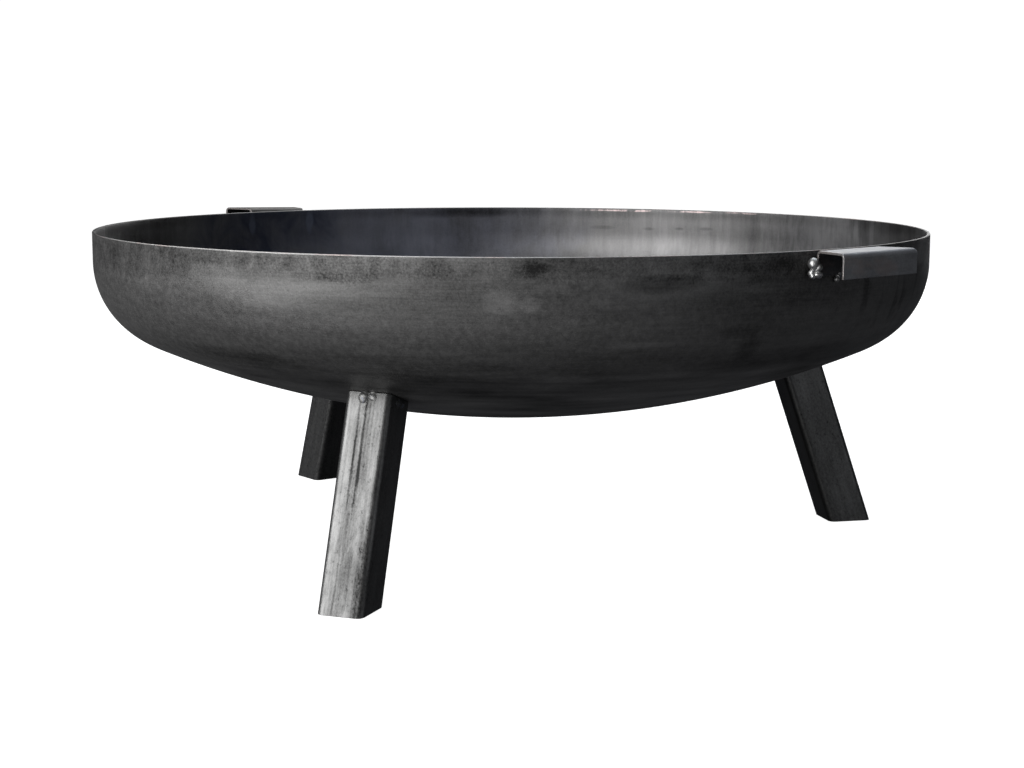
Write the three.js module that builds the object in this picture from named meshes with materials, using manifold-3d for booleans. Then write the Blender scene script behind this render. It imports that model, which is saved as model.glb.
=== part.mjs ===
// Steel fire pit: a dished bowl on three splayed square-tube legs, with two bent-sheet handles welded
// to its wall and a loose round grate lying low in the bowl.
//
// Millimetres, +Z up. The origin is on the ground, under the middle of the bowl. Azimuths are degrees
// from +X, counter-clockwise seen from above.

import * as THREE from 'three';
import { mergeVertices } from 'three/addons/utils/BufferGeometryUtils.js';
import Module from 'manifold-3d';

const wasm = await Module();
wasm.setup();

// ---------------------------------------------------------------- driving dimensions

const CLEARANCE = 0.3;

// Vertices of one geometry that are closer than this are one vertex.
const SAME_VERTEX = 1e-4;

// A cubic curve follows a quarter circle when its handles are this share of the radius long.
const QUARTER_CIRCLE_HANDLE = 0.5523;

const BOWL = {
	outerRadius: 400,
	rimHeight: 300,
	wall: 3,
	skirt: 28,
	knuckleRadius: 82,
	crownRadius: 862,
	turns: 72,
	crownSteps: 8,
	knuckleSteps: 6,
};

// A leg's turn is how far it is welded on askew, about the upright through its foot.
const LEG = {
	side: 42,
	wall: 3,
	cornerRadius: 6,
	cornerSteps: 4,
	footRadius: 345.5,
	splay: 19.2,
	placements: {
		front: { azimuth: -112.7, turn: 1.9 },
		right: { azimuth: 8.9, turn: 4 },
		rear: { azimuth: 128.6, turn: -1 },
	},
};

// A handle's lean raises its end on the counter-clockwise side. The two handles were cut by hand, so
// each has its own share of the full length.
const HANDLE = {
	sheet: 2.5,
	height: 21,
	width: 36,
	bendRadius: 4.5,
	bendSteps: 4,
	innerHalfLength: 38,
	outerHalfLength: 50,
	wallGap: 1.5,
	placements: {
		right: { azimuth: -46.8, aboveRim: 0, lean: 0, lengthShare: 1 },
		left: { azimuth: 131.4, aboveRim: 3, lean: 1.5, lengthShare: 0.92 },
	},
};

// Shares are of a blob's radius, unless the name says otherwise.
const WELD = {
	legBlobRadius: 4.6,
	legBlobSpacing: 4,
	legBlobOutShare: 0.25,
	legBlobDropShare: 0.5,
	sideBlobSizeShare: 0.8,
	handleBlobRadius: 4.6,
	handleLumps: [
		{ outShare: 0.5, downShareOfHeight: 0.5, endShare: 0.2, sizeShare: 1 },
		{ outShare: 0.9, downShareOfHeight: 0.72, endShare: 0.6, sizeShare: 0.95 },
		{ outShare: 0.6, downShareOfHeight: 0.9, endShare: 0.1, sizeShare: 0.9 },
	],
	tackRadius: 2.4,
	tackBlobs: 3,
	tackRiseShare: 0.4,
	tackFromMiddle: 9,
	around: 9,
	upward: 6,
};

const GRATE = {
	ringRadius: 290,
	ringRod: 12,
	barRod: 10,
	barCount: 11,
	barPitch: 47,
	restGap: 0.8,
	loopRod: 8,
	loopHalfWidth: 42,
	loopHeight: 48,
	loopCornerRadius: 16,
	loopSteps: 28,
	quarterHoopSteps: 16,
	sides: 10,
};

// ---------------------------------------------------------------- finishes

function steel(name, color, roughness, metalness = 0.9) {
	return new THREE.MeshStandardMaterial({ name, color, roughness, metalness });
}

const FINISH = {
	bowl: steel('bowl_steel', 0x343434, 0.55),
	leg: steel('tube_steel', 0x7d7c7a, 0.45),
	handle: steel('handle_sheet', 0x3b3d40, 0.4),
	weld: steel('weld_metal', 0x9a9a98, 0.35),
	grate: steel('grate_steel', 0x2c2a29, 0.65),
};

// ---------------------------------------------------------------- small helpers

const fireBowl = new THREE.Group();
const looseGrate = new THREE.Group();
fireBowl.add(looseGrate);

function addPiece(parent, name, geometry, material) {
	const piece = new THREE.Mesh(geometry, material);
	piece.name = name;
	parent.add(piece);
	return piece;
}

function radians(degrees) {
	return THREE.MathUtils.degToRad(degrees);
}

// A closed geometry as a solid for cutting and joining.
function toSolid(geometry) {
	const bare = geometry.clone();
	bare.deleteAttribute('normal');
	bare.deleteAttribute('uv');
	const merged = mergeVertices(bare, SAME_VERTEX);
	return new wasm.Manifold(new wasm.Mesh({
		numProp: 3,
		vertProperties: new Float32Array(merged.attributes.position.array),
		triVerts: new Uint32Array(merged.index.array),
	}));
}

// A solid back as a geometry.
function toGeometry(solid) {
	const mesh = solid.getMesh();
	const geometry = new THREE.BufferGeometry();
	geometry.setAttribute('position', new THREE.BufferAttribute(mesh.vertProperties, 3));
	geometry.setIndex(new THREE.BufferAttribute(mesh.triVerts, 1));
	geometry.computeVertexNormals();
	return geometry;
}

// Moves every vertex of a prism along its length: vertices of the low end to low(x, y), of the high
// end to high(x, y). The prism runs along Z.
function reshapeEnds(geometry, low, high) {
	const position = geometry.attributes.position;
	geometry.computeBoundingBox();
	const middle = (geometry.boundingBox.min.z + geometry.boundingBox.max.z) / 2;
	for (let i = 0; i < position.count; i += 1) {
		const end = position.getZ(i) < middle ? low : high;
		position.setZ(i, end(position.getX(i), position.getY(i)));
	}
	geometry.computeVertexNormals();
	return geometry;
}

// ---------------------------------------------------------------- bowl

// The crown's centre sits above the bowl, so that crown and knuckle meet with one tangent.
const knuckleCentre = new THREE.Vector2(
	BOWL.outerRadius - BOWL.knuckleRadius,
	BOWL.rimHeight - BOWL.skirt,
);
const crownRise = Math.sqrt((BOWL.crownRadius - BOWL.knuckleRadius) ** 2 - knuckleCentre.x ** 2);
const crownCentreHeight = knuckleCentre.y + crownRise;
const tangentAngle = Math.atan2(knuckleCentre.x, crownRise);

// The dish line from the axis out and up to the rim, moved outward by an offset: a crown arc, a
// knuckle arc, and the straight skirt.
function dishLine(offset) {
	const points = [];
	const crown = BOWL.crownRadius + offset;
	const knuckle = BOWL.knuckleRadius + offset;
	for (let i = 0; i <= BOWL.crownSteps; i += 1) {
		const angle = (tangentAngle * i) / BOWL.crownSteps;
		points.push(new THREE.Vector2(crown * Math.sin(angle), crownCentreHeight - crown * Math.cos(angle)));
	}
	for (let i = 1; i <= BOWL.knuckleSteps; i += 1) {
		const angle = tangentAngle + ((Math.PI / 2 - tangentAngle) * i) / BOWL.knuckleSteps;
		points.push(new THREE.Vector2(
			knuckleCentre.x + knuckle * Math.sin(angle),
			knuckleCentre.y - knuckle * Math.cos(angle),
		));
	}
	points.push(new THREE.Vector2(BOWL.outerRadius + offset, BOWL.rimHeight));
	return points;
}

// A lathe turns about Y, and the bowl stands on Z.
function turned(profile, turns) {
	return new THREE.LatheGeometry(profile, turns).rotateX(Math.PI / 2);
}

function bowlGeometry() {
	const outside = dishLine(0);
	const inside = dishLine(-BOWL.wall).reverse();
	return turned([...outside, ...inside], BOWL.turns);
}

// The bowl without its hollow, grown by the clearance: what its neighbours are cut back to.
function bowlKeepOut() {
	const profile = dishLine(CLEARANCE);
	const above = BOWL.rimHeight + BOWL.skirt;
	profile.push(new THREE.Vector2(BOWL.outerRadius + CLEARANCE, above));
	profile.push(new THREE.Vector2(0, above));
	return turned(profile, BOWL.turns);
}

addPiece(fireBowl, 'fire_bowl', bowlGeometry(), FINISH.bowl);

// ---------------------------------------------------------------- weld beads

// One bead: overlapping round blobs joined, then cut back from the pieces that it joins. The blobs
// are { at: Vector3, radius } in the frame of the group that holds the bead.
function beadGeometry(blobs, keepOuts) {
	let bead = null;
	for (const { at, radius } of blobs) {
		const ball = new THREE.SphereGeometry(radius, WELD.around, WELD.upward);
		const solid = toSolid(ball.translate(at.x, at.y, at.z));
		bead = bead ? bead.add(solid) : solid;
	}
	for (const keepOut of keepOuts) {
		bead = bead.subtract(keepOut);
	}
	return toGeometry(bead);
}

// ---------------------------------------------------------------- legs

// A square with round corners, its sides split once so that a cut end can follow the bowl's curve.
function roundedSquare(side, radius) {
	const points = [];
	const half = side / 2;
	for (let corner = 0; corner < 4; corner += 1) {
		const start = (corner * Math.PI) / 2;
		const centreX = (half - radius) * Math.SQRT2 * Math.cos(start + Math.PI / 4);
		const centreY = (half - radius) * Math.SQRT2 * Math.sin(start + Math.PI / 4);
		for (let i = 0; i <= LEG.cornerSteps; i += 1) {
			const angle = start + (Math.PI / 2) * (i / LEG.cornerSteps);
			points.push(new THREE.Vector2(
				centreX + radius * Math.cos(angle),
				centreY + radius * Math.sin(angle),
			));
		}
		const next = start + Math.PI / 2;
		points.push(new THREE.Vector2(half * Math.cos(next), half * Math.sin(next)));
	}
	return points;
}

// The leg's own frame: Z along the tube, X square to its outward face, origin in the middle of the
// foot on the ground.
function legFrame({ azimuth, turn }) {
	const frame = new THREE.Group();
	const around = radians(azimuth);
	frame.position.set(LEG.footRadius * Math.cos(around), LEG.footRadius * Math.sin(around), 0);
	frame.rotation.set(0, -radians(LEG.splay), around + radians(turn), 'ZYX');
	frame.updateMatrixWorld();
	return frame;
}

// The height along the tube at which a line parallel to it meets the bowl's crown, less the clearance.
function crownHit(frame) {
	const centre = new THREE.Vector3(0, 0, crownCentreHeight);
	centre.applyMatrix4(frame.matrixWorld.clone().invert());
	const reach = BOWL.crownRadius + CLEARANCE;
	return (x, y) => centre.z - Math.sqrt(reach ** 2 - (x - centre.x) ** 2 - (y - centre.y) ** 2);
}

// The height along the tube at which a line parallel to it meets the ground.
function groundHit(x) {
	return -x * Math.tan(radians(LEG.splay));
}

function legGeometry(frame) {
	const section = new THREE.Shape(roundedSquare(LEG.side, LEG.cornerRadius));
	const bore = roundedSquare(LEG.side - 2 * LEG.wall, LEG.cornerRadius - LEG.wall);
	section.holes.push(new THREE.Path(bore.reverse()));
	const tube = new THREE.ExtrudeGeometry(section, { depth: 1, bevelEnabled: false });
	return reshapeEnds(tube, groundHit, crownHit(frame));
}

// The leg as a full block, grown by the clearance.
function legKeepOut() {
	const side = LEG.side + 2 * CLEARANCE;
	return toSolid(new THREE.BoxGeometry(side, side, 2 * BOWL.rimHeight));
}

// Four beads hold a leg to the bowl, one in the middle of each face: twin blobs on the outward and
// inward faces, three smaller ones on each side face.
function addLegWelds(frame, name) {
	const bowl = toSolid(bowlKeepOut().applyMatrix4(frame.matrixWorld.clone().invert()));
	const keepOuts = [legKeepOut(), bowl];
	const seam = crownHit(frame);
	const radius = WELD.legBlobRadius;
	const out = LEG.side / 2 + WELD.legBlobOutShare * radius;
	const drop = WELD.legBlobDropShare * radius;
	const small = WELD.sideBlobSizeShare * radius;
	const step = WELD.legBlobSpacing;
	const blob = (x, y, size) => ({ at: new THREE.Vector3(x, y, seam(x, y) - drop), radius: size });
	const beads = {
		outer: [-1, 1].map((i) => blob(out, i * step, radius)),
		inner: [-1, 1].map((i) => blob(-out, i * step, radius)),
		left: [-1, 0, 1].map((i) => blob(i * step, -out, small)),
		right: [-1, 0, 1].map((i) => blob(i * step, out, small)),
	};
	for (const [face, blobs] of Object.entries(beads)) {
		addPiece(frame, `${name}_weld_${face}`, beadGeometry(blobs, keepOuts), FINISH.weld);
	}
}

for (const [place, placement] of Object.entries(LEG.placements)) {
	const frame = legFrame(placement);
	addPiece(frame, `${place}_leg`, legGeometry(frame), FINISH.leg);
	addLegWelds(frame, `${place}_leg`);
	fireBowl.add(frame);
}

// ---------------------------------------------------------------- handles

// The handle's own frame: Z along the handle, X away from the bowl, Y downward. The origin is on the
// wall's outer face in the middle of the handle, level with the handle's top.
function handleFrame({ azimuth, aboveRim, lean }) {
	const frame = new THREE.Group();
	const around = radians(azimuth);
	frame.position.set(
		BOWL.outerRadius * Math.cos(around),
		BOWL.outerRadius * Math.sin(around),
		BOWL.rimHeight + aboveRim,
	);
	frame.rotation.set(radians(lean) - Math.PI / 2, 0, around, 'ZYX');
	frame.updateMatrixWorld();
	return frame;
}

// The bent sheet's section: a channel open downward, with a round bend at each top edge.
function channelSection(grow) {
	const left = HANDLE.wallGap - grow;
	const right = HANDLE.wallGap + HANDLE.width + grow;
	const bottom = HANDLE.height + grow;
	const sheet = HANDLE.sheet + 2 * grow;
	const outer = HANDLE.bendRadius + grow;
	const inner = outer - sheet;
	const section = new THREE.Shape();
	section.moveTo(left, bottom);
	section.lineTo(left, outer - grow);
	section.absarc(left + outer, outer - grow, outer, Math.PI, Math.PI * 1.5);
	section.lineTo(right - outer, -grow);
	section.absarc(right - outer, outer - grow, outer, Math.PI * 1.5, Math.PI * 2);
	section.lineTo(right, bottom);
	section.lineTo(right - sheet, bottom);
	section.lineTo(right - sheet, outer - grow);
	section.absarc(right - outer, outer - grow, inner, 0, -Math.PI / 2, true);
	section.lineTo(left + outer, sheet - grow);
	section.absarc(left + outer, outer - grow, inner, Math.PI * 1.5, Math.PI, true);
	section.lineTo(left + sheet, bottom);
	section.closePath();
	return section;
}

// The channel cut to length, its ends running out so that the handle is longer on its outer side.
function handleGeometry(lengthShare, grow = 0) {
	const channel = new THREE.ExtrudeGeometry(channelSection(grow), {
		depth: 1,
		bevelEnabled: false,
		curveSegments: HANDLE.bendSteps,
	});
	const flare = (HANDLE.outerHalfLength - HANDLE.innerHalfLength) / HANDLE.width;
	const fullReach = (x) => HANDLE.innerHalfLength + flare * (x - HANDLE.wallGap);
	const reach = (x) => lengthShare * fullReach(x) + grow;
	return reshapeEnds(channel, (x) => -reach(x), reach);
}

// A lumpy bead joins each end of the handle's inner flange to the bowl, and a short tack holds the
// flange's lower edge near its middle.
function addHandleWelds(frame, name, lengthShare) {
	const bowl = toSolid(bowlKeepOut().applyMatrix4(frame.matrixWorld.clone().invert()));
	const keepOuts = [toSolid(handleGeometry(lengthShare, CLEARANCE)), bowl];
	const big = WELD.handleBlobRadius;
	const tack = WELD.tackRadius;
	const endLumps = (side) => WELD.handleLumps.map((lump) => ({
		at: new THREE.Vector3(
			lump.outShare * big,
			lump.downShareOfHeight * HANDLE.height,
			side * (lengthShare * HANDLE.innerHalfLength + lump.endShare * big),
		),
		radius: lump.sizeShare * big,
	}));
	const tackLumps = Array.from({ length: WELD.tackBlobs }, (_, i) => ({
		at: new THREE.Vector3(
			tack,
			HANDLE.height + (i - WELD.tackRiseShare) * tack,
			-WELD.tackFromMiddle,
		),
		radius: tack,
	}));
	const beads = { near: endLumps(-1), far: endLumps(1), under: tackLumps };
	for (const [place, blobs] of Object.entries(beads)) {
		addPiece(frame, `${name}_weld_${place}`, beadGeometry(blobs, keepOuts), FINISH.weld);
	}
}

for (const [place, placement] of Object.entries(HANDLE.placements)) {
	const frame = handleFrame(placement);
	addPiece(frame, `${place}_handle`, handleGeometry(placement.lengthShare), FINISH.handle);
	addHandleWelds(frame, `${place}_handle`, placement.lengthShare);
	fireBowl.add(frame);
}

// ---------------------------------------------------------------- grate

// The ring lies on the crown's inside, which is a sphere about the crown's centre.
const ringReach = BOWL.crownRadius - BOWL.wall - GRATE.ringRod / 2 - GRATE.restGap;
const ringHeight = crownCentreHeight - Math.sqrt(ringReach ** 2 - GRATE.ringRadius ** 2);
looseGrate.position.z = ringHeight;

// A level arc about the Z axis.
class LevelArc extends THREE.Curve {
	constructor(radius, start, end) {
		super();
		this.radius = radius;
		this.start = start;
		this.end = end;
	}

	getPoint(t, target = new THREE.Vector3()) {
		const angle = this.start + (this.end - this.start) * t;
		return target.set(this.radius * Math.cos(angle), this.radius * Math.sin(angle), 0);
	}
}

// A round rod's section.
function rodSection(diameter) {
	const section = new THREE.Shape();
	section.absarc(0, 0, diameter / 2, 0, Math.PI * 2);
	return section;
}

function rodGeometry(diameter, path, steps) {
	return new THREE.ExtrudeGeometry(rodSection(diameter), {
		steps,
		curveSegments: GRATE.sides / 2,
		extrudePath: path,
	});
}

// The ring is four quarter hoops that meet at the ends of the cross bar and of the middle bar.
function addRing() {
	const joint = CLEARANCE / GRATE.ringRadius;
	const quarter = Math.PI / 2;
	const places = ['back_right', 'back_left', 'front_left', 'front_right'];
	for (const [i, place] of places.entries()) {
		const start = i * quarter;
		const arc = new LevelArc(GRATE.ringRadius, start + joint, start + quarter - joint);
		const hoop = rodGeometry(GRATE.ringRod, arc, GRATE.quarterHoopSteps);
		addPiece(looseGrate, `grate_ring_${place}`, hoop, FINISH.grate);
	}
}

// The cross bar lies in the ring's plane and butts against the ring's inner side.
function addCrossBar() {
	const rod = GRATE.ringRod / 2;
	const halfLength = GRATE.ringRadius - rod - 2 * CLEARANCE;
	const bar = new THREE.CylinderGeometry(rod, rod, 2 * halfLength, GRATE.sides);
	addPiece(looseGrate, 'grate_cross_bar', bar, FINISH.grate).rotation.z = Math.PI / 2;
}

// The bars lie side by side along Y on top of the ring and the cross bar, and end over the ring.
function addBars() {
	const rod = GRATE.barRod / 2;
	const overRing = GRATE.ringRadius + rod;
	for (let i = 0; i < GRATE.barCount; i += 1) {
		const x = (i - (GRATE.barCount - 1) / 2) * GRATE.barPitch;
		const length = 2 * Math.sqrt(overRing ** 2 - x ** 2);
		const bar = new THREE.CylinderGeometry(rod, rod, length, GRATE.sides);
		const number = String(i + 1).padStart(2, '0');
		const piece = addPiece(looseGrate, `grate_bar_${number}`, bar, FINISH.grate);
		piece.position.set(x, 0, GRATE.ringRod / 2 + CLEARANCE + rod);
	}
}

// A lifting loop's centre line: up, over and down again, with round corners.
function loopPath() {
	const half = GRATE.loopHalfWidth;
	const top = GRATE.loopHeight;
	const corner = GRATE.loopCornerRadius;
	const bend = 1 - QUARTER_CIRCLE_HANDLE;
	const point = (y, z) => new THREE.Vector3(0, y, z);
	const path = new THREE.CurvePath();
	path.add(new THREE.LineCurve3(point(-half, 0), point(-half, top - corner)));
	path.add(new THREE.CubicBezierCurve3(
		point(-half, top - corner),
		point(-half, top - corner * bend),
		point(-half + corner * bend, top),
		point(-half + corner, top),
	));
	path.add(new THREE.LineCurve3(point(-half + corner, top), point(half - corner, top)));
	path.add(new THREE.CubicBezierCurve3(
		point(half - corner, top),
		point(half - corner * bend, top),
		point(half, top - corner * bend),
		point(half, top - corner),
	));
	path.add(new THREE.LineCurve3(point(half, top - corner), point(half, 0)));
	return path;
}

function addLoops() {
	const overRing = Math.sqrt(GRATE.ringRadius ** 2 - GRATE.loopHalfWidth ** 2);
	for (const [place, side] of [['right', 1], ['left', -1]]) {
		const loop = rodGeometry(GRATE.loopRod, loopPath(), GRATE.loopSteps);
		const piece = addPiece(looseGrate, `grate_lift_loop_${place}`, loop, FINISH.grate);
		piece.position.set(side * overRing, 0, GRATE.ringRod / 2 + CLEARANCE);
	}
}

addRing();
addCrossBar();
addBars();
addLoops();

export default fireBowl;
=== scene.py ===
"""The looks of a steel fire pit with a loose grate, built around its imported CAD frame.

Each sub-assembly is a class that works out its surfaces with numpy, in metres, in the frame's own
axes: +Z up, the ground at z = 0, the bowl's axis on x = y = 0. Azimuths are measured from +X,
counter-clockwise seen from above.
"""

import logging
import math
from dataclasses import dataclass, field
from enum import Enum
from typing import Iterable, Sequence

import bpy
import numpy as np
from mathutils import Euler, Matrix, Vector


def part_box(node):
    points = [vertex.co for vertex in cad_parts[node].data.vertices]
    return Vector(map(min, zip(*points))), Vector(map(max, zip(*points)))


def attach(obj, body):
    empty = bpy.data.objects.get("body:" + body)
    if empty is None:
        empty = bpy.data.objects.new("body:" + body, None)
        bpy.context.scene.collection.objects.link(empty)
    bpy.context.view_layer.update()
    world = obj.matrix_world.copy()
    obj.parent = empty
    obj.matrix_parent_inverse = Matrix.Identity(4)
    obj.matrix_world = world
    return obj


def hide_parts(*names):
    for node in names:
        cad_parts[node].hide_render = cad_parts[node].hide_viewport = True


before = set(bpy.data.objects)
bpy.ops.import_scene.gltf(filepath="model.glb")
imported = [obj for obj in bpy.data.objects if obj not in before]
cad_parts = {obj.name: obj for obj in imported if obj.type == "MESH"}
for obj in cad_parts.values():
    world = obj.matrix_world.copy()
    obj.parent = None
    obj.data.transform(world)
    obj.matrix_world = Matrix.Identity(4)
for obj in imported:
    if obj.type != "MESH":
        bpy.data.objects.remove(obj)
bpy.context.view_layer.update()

Array = np.ndarray
Point = tuple[float, float, float]
Drop = tuple[float, float, float, float]
Rgb = tuple[float, float, float]

log = logging.getLogger("fire_pit")

MM = 0.001
CHAMFER_SHARE = 0.08
SEED_SHIFT = 0.3
BEAD_SOFTNESS = 0.06
BEAD_RIPPLE = 0.020
FIXED_BODY = "bowl_on_legs"
GRATE_BODY = "loose_grate"


class Slot(Enum):
    """The record's material slots."""

    BOWL = "bowl_steel"
    TUBE = "tube_steel"
    SHEET = "handle_sheet"
    WELD = "weld_metal"
    GRATE = "grate_steel"


# ---------- shader expressions


class Socket:
    """An output socket of a node, from which expressions are built."""

    def __init__(self, graph: "Graph", socket: bpy.types.NodeSocket) -> None:
        """Keeps the socket and the graph that it belongs to."""
        self.graph = graph
        self.socket = socket


class Value(Socket):
    """A number that varies over a surface; Python's operators add Math nodes."""

    def _math(self, operation: str, *operands: "Value | float") -> "Value":
        """The result of one Math node, which has that operation and those inputs in order."""
        node = self.graph.add("ShaderNodeMath", {"operation": operation}, dict(enumerate(operands)))
        return Value(self.graph, node.outputs[0])

    def __add__(self, other: "Value | float") -> "Value":
        """self + other."""
        return self._math("ADD", self, other)

    __radd__ = __add__

    def __sub__(self, other: "Value | float") -> "Value":
        """self - other."""
        return self._math("SUBTRACT", self, other)

    def __rsub__(self, other: float) -> "Value":
        """other - self."""
        return self._math("SUBTRACT", other, self)

    def __mul__(self, other: "Value | float") -> "Value":
        """self * other."""
        return self._math("MULTIPLY", self, other)

    __rmul__ = __mul__

    def clamped(self) -> "Value":
        """self, held between 0 and 1."""
        return self.between(0.0, 1.0)

    def between(self, low: float, high: float) -> "Value":
        """self, held between low and high."""
        return self._math("MINIMUM", self._math("MAXIMUM", self, low), high)

    def azimuth_with(self, y: "Value") -> "Value":
        """The angle of the point (self, y) about the origin, in radians."""
        return self._math("ARCTAN2", y, self)

    def step(self, low: float, high: float) -> "Value":
        """A soft step.

        Args:
            low: Where the step leaves 0.
            high: Where it reaches 1; below low for a falling step.

        Returns:
            0 before low, 1 after high, smooth between.
        """
        start, stop, first, last = (low, high, 0.0, 1.0) if low < high else (high, low, 1.0, 0.0)
        node = self.graph.add(
            "ShaderNodeMapRange",
            {"interpolation_type": "SMOOTHSTEP"},
            {"Value": self, "From Min": start, "From Max": stop, "To Min": first, "To Max": last},
        )
        return Value(self.graph, node.outputs["Result"])


class Vec(Socket):
    """A vector or colour that varies over a surface; operators add Vector Math and Mix nodes."""

    def _vector(self, operation: str, *operands: "Vec | Sequence[float]") -> "Vec":
        """One Vector Math node with the operands as its inputs, and its result."""
        node = self.graph.add("ShaderNodeVectorMath", {"operation": operation}, dict(enumerate(operands)))
        return Vec(self.graph, node.outputs[0])

    def __add__(self, other: "Vec | Sequence[float]") -> "Vec":
        """self + other, part by part."""
        return self._vector("ADD", self, other)

    __radd__ = __add__

    def __mul__(self, other: "Vec | Sequence[float]") -> "Vec":
        """self * other, part by part."""
        return self._vector("MULTIPLY", self, other)

    __rmul__ = __mul__

    def scaled(self, share: Value) -> "Vec":
        """Every part of self times one number."""
        node = self.graph.add("ShaderNodeVectorMath", {"operation": "SCALE"}, {0: self, "Scale": share})
        return Vec(self.graph, node.outputs[0])

    def part(self, axis: int) -> Value:
        """One of the three parts, 0, 1 or 2, as a number."""
        node = self.graph.add("ShaderNodeSeparateXYZ", {}, {0: self})
        return Value(self.graph, node.outputs[axis])

    def toward(self, other: "Vec | Rgb", share: "Value | float") -> "Vec":
        """A colour mix.

        Args:
            other: The colour at a share of 1.
            share: How much of it, from 0 to 1.

        Returns:
            self at a share of 0, and other at 1.
        """
        node = self.graph.add("ShaderNodeMix", {"data_type": "RGBA"}, {"Factor": share})
        self.graph.feed(node.inputs[6], self)
        self.graph.feed(node.inputs[7], other)
        return Vec(self.graph, node.outputs[2])


class Graph:
    """A material's node tree."""

    def __init__(self, name: str) -> None:
        """Starts an empty material with that name."""
        self.material = bpy.data.materials.new(name)
        self.material.use_nodes = True
        self.tree = self.material.node_tree
        self.tree.nodes.clear()

    def feed(self, socket: bpy.types.NodeSocket, value: object) -> None:
        """Links or sets one input.

        Args:
            socket: The input.
            value: A Socket to link, or a number, vector or colour to set.
        """
        if isinstance(value, Socket):
            self.tree.links.new(value.socket, socket)
        elif socket.type == "RGBA" and len(value) == 3:
            socket.default_value = (*value, 1.0)
        else:
            socket.default_value = value

    def add(self, kind: str, settings: dict[str, object], inputs: dict[int | str, object]) -> bpy.types.Node:
        """Adds any node.

        Args:
            kind: The node's type name.
            settings: Its properties, set first.
            inputs: Values or links by input name or index.

        Returns:
            The node.
        """
        node = self.tree.nodes.new(kind)
        for name, value in settings.items():
            setattr(node, name, value)
        for key, value in inputs.items():
            self.feed(node.inputs[key], value)
        return node

    def place(self, turn: Euler | None = None, shift: Point = (0.0, 0.0, 0.0)) -> Vec:
        """Object coordinates, turned and then shifted.

        Args:
            turn: The rotation, or None.
            shift: What is added after it.

        Returns:
            The coordinates in metres.
        """
        coordinates = self.add("ShaderNodeTexCoord", {}, {}).outputs["Object"]
        inputs = {"Vector": Socket(self, coordinates), "Location": shift}
        if turn is not None:
            inputs["Rotation"] = turn
        return Vec(self, self.add("ShaderNodeMapping", {}, inputs).outputs[0])

    def noise(
        self, where: Vec, scale: float, detail: float, roughness: float, warp: float = 0.0
    ) -> Value:
        """Fractal noise.

        Args:
            where: The coordinates.
            scale: Features per metre.
            detail: Octaves.
            roughness: The share that each finer octave keeps.
            warp: How far the noise distorts itself.

        Returns:
            Values around 0.5.
        """
        inputs = {"Vector": where, "Scale": scale, "Detail": detail, "Roughness": roughness}
        inputs["Distortion"] = warp
        node = self.add("ShaderNodeTexNoise", {"noise_dimensions": "3D"}, inputs)
        return Value(self, node.outputs[0])

    def swing(self, where: Vec, squash: float, *settings: float) -> Value:
        """Noise around 0, squash times finer along the third axis; below 1 it is drawn out."""
        squashed = where if squash == 1 else where * (1.0, 1.0, squash)
        return self.noise(squashed, *settings) - 0.5

    def attribute(self, name: str) -> Value:
        """A number stored on the mesh."""
        node = self.add("ShaderNodeAttribute", {"attribute_name": name}, {})
        return Value(self, node.outputs["Fac"])

    def number(self, value: float) -> Value:
        """A plain number, as the start of a sum."""
        node = self.add("ShaderNodeValue", {}, {})
        node.outputs[0].default_value = value
        return Value(self, node.outputs[0])

    def colour(self, rgb: Rgb) -> Vec:
        """A plain colour, as the start of a mix."""
        node = self.add("ShaderNodeRGB", {}, {})
        node.outputs[0].default_value = (*rgb, 1.0)
        return Vec(self, node.outputs[0])

    def relief(self, height: Value, depth: float, below: "Vec | None" = None) -> Vec:
        """Bump.

        Args:
            height: The relief, about 0 to 1.
            depth: Metres from 0 to 1.
            below: A coarser relief that this one lies on.

        Returns:
            The normal.
        """
        inputs = {"Height": height, "Distance": depth, "Strength": 1.0}
        if below is not None:
            inputs["Normal"] = below
        return Vec(self, self.add("ShaderNodeBump", {}, inputs).outputs[0])

    def surface(self, **inputs: object) -> bpy.types.Material:
        """Ends the tree with a Principled shader.

        Args:
            inputs: The shader's inputs by name, such as base_color for its Base Color.

        Returns:
            The finished material.
        """
        named = {name.replace("_", " ").title(): value for name, value in inputs.items()}
        shader = self.add("ShaderNodeBsdfPrincipled", {}, named)
        output = self.add("ShaderNodeOutputMaterial", {}, {})
        self.tree.links.new(shader.outputs[0], output.inputs["Surface"])
        return self.material


# ---------- finishes


@dataclass(frozen=True)
class Patch:
    """A soft-edged oval on the bowl's wall: some are stains, polished spots and heat marks, others painted
    highlight and shade.

    Azimuths are in degrees, sizes in millimetres, and a strength above 0 is lighter.
    """

    azimuth: float
    height: float
    half_width: float
    half_height: float
    strength: float

    def mask(self, around: Value, height: Value, radius: float, raggedness: Value) -> Value:
        """How much of the patch lies at a point.

        Its value falls from 1 in the middle to 0 at the edge with the squared distance, where the
        distance counts in half widths and half heights and is pushed about by the raggedness.

        Args:
            around: The point's azimuth in radians.
            height: The point's height in metres.
            radius: The wall's radius in metres.
            raggedness: A pattern around 0.

        Returns:
            The mask, from 0 to 1.
        """
        across = (around - math.radians(self.azimuth)) * (radius / (self.half_width * MM))
        upward = (height - self.height * MM) * (1 / (self.half_height * MM))
        return (1 - (across * across + upward * upward) + raggedness).clamped()


def ovals(*rows: tuple[float, float, float, float, float]) -> tuple[Patch, ...]:
    """Patches from rows of azimuth, height, half width, half height and strength."""
    return tuple(Patch(*row) for row in rows)


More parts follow.
